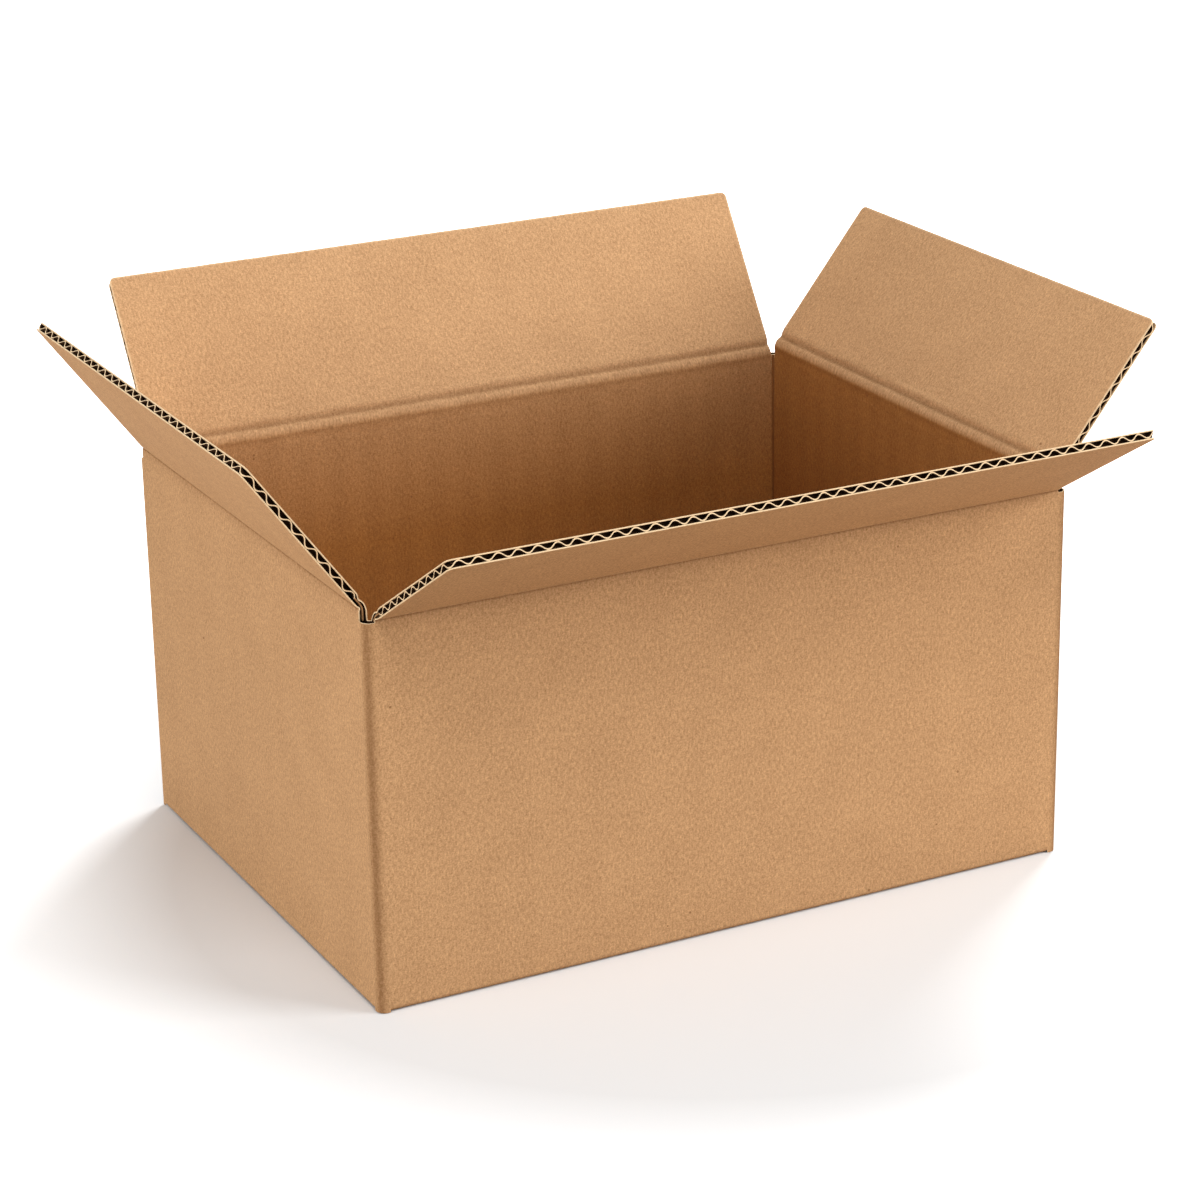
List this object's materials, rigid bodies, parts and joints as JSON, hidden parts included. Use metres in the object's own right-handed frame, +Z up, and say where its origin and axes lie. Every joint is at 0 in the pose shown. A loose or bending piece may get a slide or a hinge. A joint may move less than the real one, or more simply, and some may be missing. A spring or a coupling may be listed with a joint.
{
  "type": "open cardboard box",
  "caption": "Open corrugated cardboard shipping box with hinged top flaps folded outwards and a glued, closed bottom.",
  "frame": {"origin": "middle of the bottom, on the surface that the box stands on", "axes": "+Z up, X along the long sides, Y along the short sides with the front wall at -Y"},
  "size_m": [0.402, 0.3444, 0.2279],
  "materials": {
    "kraft_board": "matte uncoated kraft"
  },
  "bodies": {
    "box": {"box_body": "kraft_board"},
    "front_flap": {"front_flap": "kraft_board"},
    "back_flap": {"back_flap": "kraft_board"},
    "left_flap": {"left_flap": "kraft_board"},
    "right_flap": {"right_flap": "kraft_board"}
  },
  "joints": [
    {"name": "front_flap_crease", "type": "hinge", "parent": "box", "child": "front_flap", "pos_m": [0, -0.1181, 0.1608], "axis": [1, 0, 0], "range_deg": [-148.6, 111.4]},
    {"name": "back_flap_crease", "type": "hinge", "parent": "box", "child": "back_flap", "pos_m": [0, 0.1181, 0.1608], "axis": [-1, 0, 0], "range_deg": [-122.8, 137.2]},
    {"name": "left_flap_crease", "type": "hinge", "parent": "box", "child": "left_flap", "pos_m": [-0.1561, 0, 0.1647], "axis": [0, -1, 0], "range_deg": [-126.4, 133.6]},
    {"name": "right_flap_crease", "type": "hinge", "parent": "box", "child": "right_flap", "pos_m": [0.1561, 0, 0.1647], "axis": [0, 1, 0], "range_deg": [-128.8, 131.2]}
  ]
}
